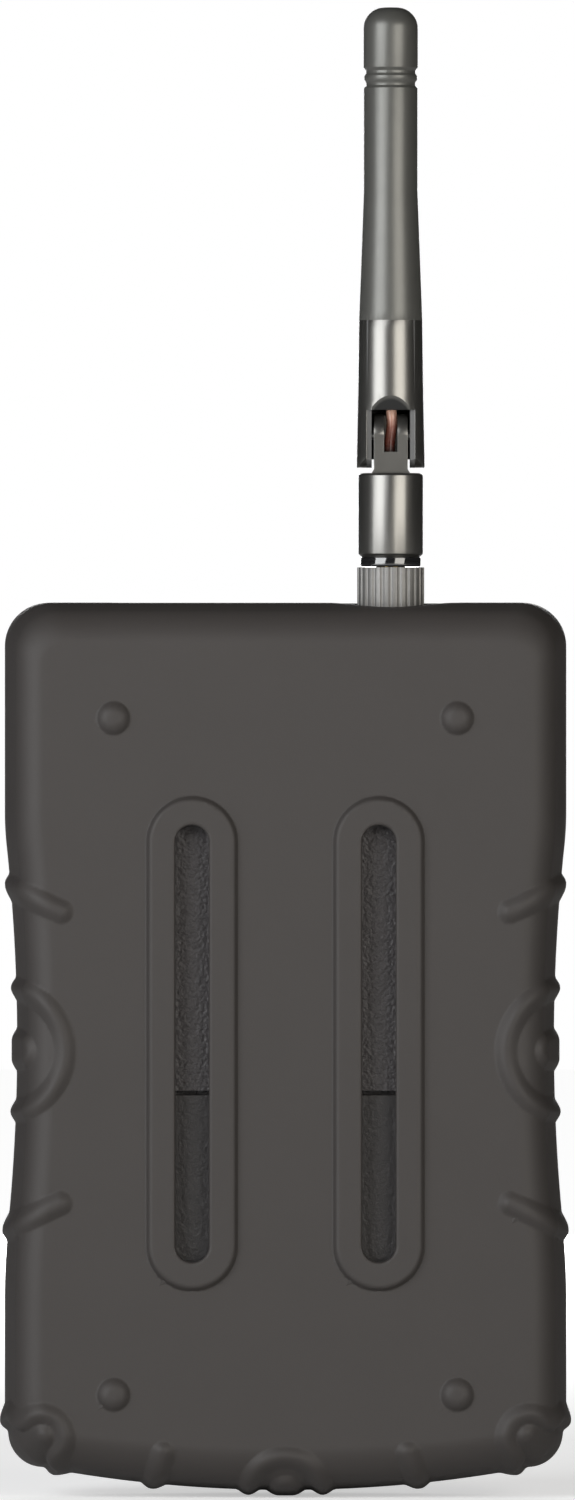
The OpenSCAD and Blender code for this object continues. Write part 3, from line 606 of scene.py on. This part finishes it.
# ---------- antenna ----------
# Glossy moulded knuckle and fork on two short steel pins, a polished collar under the
# knuckle, and a soft satin sleeve over the radiating rod.
hard_black = surface("antenna_gloss", (0.207, 0.203, 0.192), 0.31, metallic=0.9, mottle=0.04,
                     mottle_size=3, grain=2.2, grain_height=0.002, rough_spread=0.02,
                     specular=0.75)
soft_black = surface("antenna_satin", (0.125, 0.125, 0.116), 0.38, metallic=0.45, mottle=0.06,
                     mottle_size=2.5, grain=1.6, grain_height=0.004, rough_spread=0.02,
                     specular=0.6)
collar_black = surface("collar_polish", (0.012, 0.012, 0.013), 0.09, mottle=0.05, grain=0.4,
                       grain_height=0.003, specular=1.0, coat=0.8)
steel = surface("bright_steel", (0.60, 0.60, 0.60), 0.3, metallic=1.0, mottle=0.08, mottle_size=1,
                grain=0.15, grain_height=0.006)


def fork_gloss_with_painted_shade(gloss):
    """The glossy finish outside. The walls of the fork's slot are painted near black, as painted
    shade in the recess, and its bevelled edges are a duller grey."""
    finish = gloss.copy()
    finish.name = "fork_gloss_and_painted_shade"
    tree = finish.node_tree
    place = add_node(tree, "ShaderNodeTexCoord")
    shift = add_node(tree, "ShaderNodeVectorMath", operation="SUBTRACT")
    shift.inputs[1].default_value = (ANTENNA_X, ANTENNA_Y, 0)
    flat = add_node(tree, "ShaderNodeVectorMath", operation="MULTIPLY")
    flat.inputs[1].default_value = (1, 1, 0)
    reach = add_node(tree, "ShaderNodeVectorMath", operation="LENGTH")
    axes = add_node(tree, "ShaderNodeSeparateXYZ")
    across = add_node(tree, "ShaderNodeMath", operation="ABSOLUTE")
    behind = add_node(tree, "ShaderNodeMath", operation="ABSOLUTE")
    inside = add_node(tree, "ShaderNodeMapRange", From_Min=4.72 * MM, From_Max=4.92 * MM,
                      To_Min=1, To_Max=0)
    within = add_node(tree, "ShaderNodeMapRange", From_Min=2.94 * MM, From_Max=2.99 * MM,
                      To_Min=1, To_Max=0)
    walls = add_node(tree, "ShaderNodeMath", operation="MULTIPLY")
    shallow = add_node(tree, "ShaderNodeMath", operation="LESS_THAN")
    shallow.inputs[1].default_value = 3.44 * MM
    narrow = add_node(tree, "ShaderNodeMath", operation="LESS_THAN")
    narrow.inputs[1].default_value = 3.72 * MM
    bevels = add_node(tree, "ShaderNodeMath", operation="MULTIPLY")
    either = add_node(tree, "ShaderNodeMath", operation="MAXIMUM")
    # Painted shade: the base colour is near black deep in the slot and rises to grey at its edges.
    shade = add_node(tree, "ShaderNodeMapRange", From_Min=2.96 * MM, From_Max=3.05 * MM,
                     To_Min=0.012, To_Max=0.11)
    wall_shade_and_bevel_bsdf = add_node(tree, "ShaderNodeBsdfPrincipled", Roughness=0.65)
    mix = add_node(tree, "ShaderNodeMixShader")
    for out, into in (
        (place.outputs["Object"], shift.inputs[0]),
        (shift.outputs["Vector"], flat.inputs[0]),
        (flat.outputs["Vector"], reach.inputs[0]),
        (shift.outputs["Vector"], axes.inputs["Vector"]),
        (axes.outputs["X"], across.inputs[0]),
        (axes.outputs["Y"], behind.inputs[0]),
        (reach.outputs["Value"], inside.inputs["Value"]),
        (across.outputs["Value"], within.inputs["Value"]),
        (inside.outputs["Result"], walls.inputs[0]),
        (within.outputs["Result"], walls.inputs[1]),
        (behind.outputs["Value"], shallow.inputs[0]),
        (across.outputs["Value"], narrow.inputs[0]),
        (shallow.outputs["Value"], bevels.inputs[0]),
        (narrow.outputs["Value"], bevels.inputs[1]),
        (walls.outputs["Value"], either.inputs[0]),
        (bevels.outputs["Value"], either.inputs[1]),
        (across.outputs["Value"], shade.inputs["Value"]),
        (shade.outputs["Result"], wall_shade_and_bevel_bsdf.inputs["Base Color"]),
        (either.outputs["Value"], mix.inputs[0]),
        (tree.nodes["Principled BSDF"].outputs["BSDF"], mix.inputs[1]),
        (wall_shade_and_bevel_bsdf.outputs["BSDF"], mix.inputs[2]),
        (mix.outputs["Shader"], tree.nodes["Material Output"].inputs["Surface"]),
    ):
        tree.links.new(out, into)
    return finish


dress("antenna_knuckle", hard_black, 0.12)
dress("antenna_fork", fork_gloss_with_painted_shade(hard_black), 0.12)
dress("antenna_sleeve", soft_black, 0.12)
dress("antenna_collar", collar_black, 0.04)
dress("hinge_pins", steel, 0.05)

# ---------- instrument jack and power switch ----------
# Nickel-plated jack with a washer and a hexagon nut, and a slide switch held by two screws.
moulded_black = surface("moulded_black", (0.016, 0.016, 0.017), 0.42, mottle=0.08, grain=0.3,
                        grain_height=0.015)
tinned = surface("tinned_sheet", (0.62, 0.63, 0.64), 0.32, metallic=1.0, mottle=0.12, mottle_size=3,
                 grain=0.4, grain_height=0.01)
slider_white = surface("slider_white", (0.62, 0.62, 0.59), 0.45, mottle=0.05, grain=0.25,
                       grain_height=0.01)
for name in ("jack_bushing", "jack_nut", "jack_washer"):
    dress(name, nickel, 0.12)
dress("jack_body", moulded_black)
dress("jack_contacts", tinned)
dress("power_switch_body", moulded_black, 0.1)
dress("power_switch_slider", slider_white, 0.12)
dress("switch_screws", steel, 0.12)

# ---------- front keys and lights ----------
# Soft-touch rubber keys over small dome switches, with clear light pipes above them.
mute_red = surface("mute_red", (0.42, 0.035, 0.025), 0.5, mottle=0.06, grain=0.2,
                   grain_height=0.012)
key_grey = surface("key_grey", (0.24, 0.25, 0.26), 0.5, mottle=0.06, grain=0.2,
                   grain_height=0.012)
clear_lens = surface("clear_lens", (0.70, 0.78, 0.74), 0.15, mottle=0.03, grain=0.4,
                     grain_height=0.003)
led_green = surface("led_green", (0.30, 0.62, 0.22), 0.3, mottle=0.04, grain=0.3,
                    grain_height=0.004)
dress("mute_button", mute_red, 0.35)
dress("channel_button", key_grey, 0.35)
for name in ("mute_plunger", "channel_plunger", "button_switches"):
    dress(name, moulded_black)
dress("light_pipes", clear_lens, 0.1)
dress("status_leds", led_green)

# ---------- boards and cells ----------
# Green main board with its chips, a blue radio module under a tinned can, four printed
# cells on sheet contacts, and the screws that hold it all.
board_green = surface("solder_mask_green", (0.012, 0.12, 0.05), 0.35, mottle=0.15, mottle_size=3,
                      grain=0.5, grain_height=0.015)
board_blue = surface("solder_mask_blue", (0.014, 0.05, 0.16), 0.35, mottle=0.15, mottle_size=3,
                     grain=0.5, grain_height=0.015)
cable_black = surface("cable_black", (0.02, 0.02, 0.02), 0.5, mottle=0.05, grain=0.3,
                      grain_height=0.01)
cell_wrap = surface("cell_wrap", (0.16, 0.20, 0.25), 0.3, metallic=0.4, mottle=0.08, mottle_size=5,
                    grain=0.4, grain_height=0.004)
dress("main_board", board_green)
dress("board_chips", moulded_black, 0.1)
dress("rf_board", board_blue)
dress("rf_shield", tinned, 0.1)
dress("pigtail_coax", cable_black)
dress("battery_cells", cell_wrap, 0.3)
for name in ("battery_contacts", "contact_springs"):
    dress(name, tinned)
for name in ("case_screws", "board_screws"):
    dress(name, steel, 0.1)
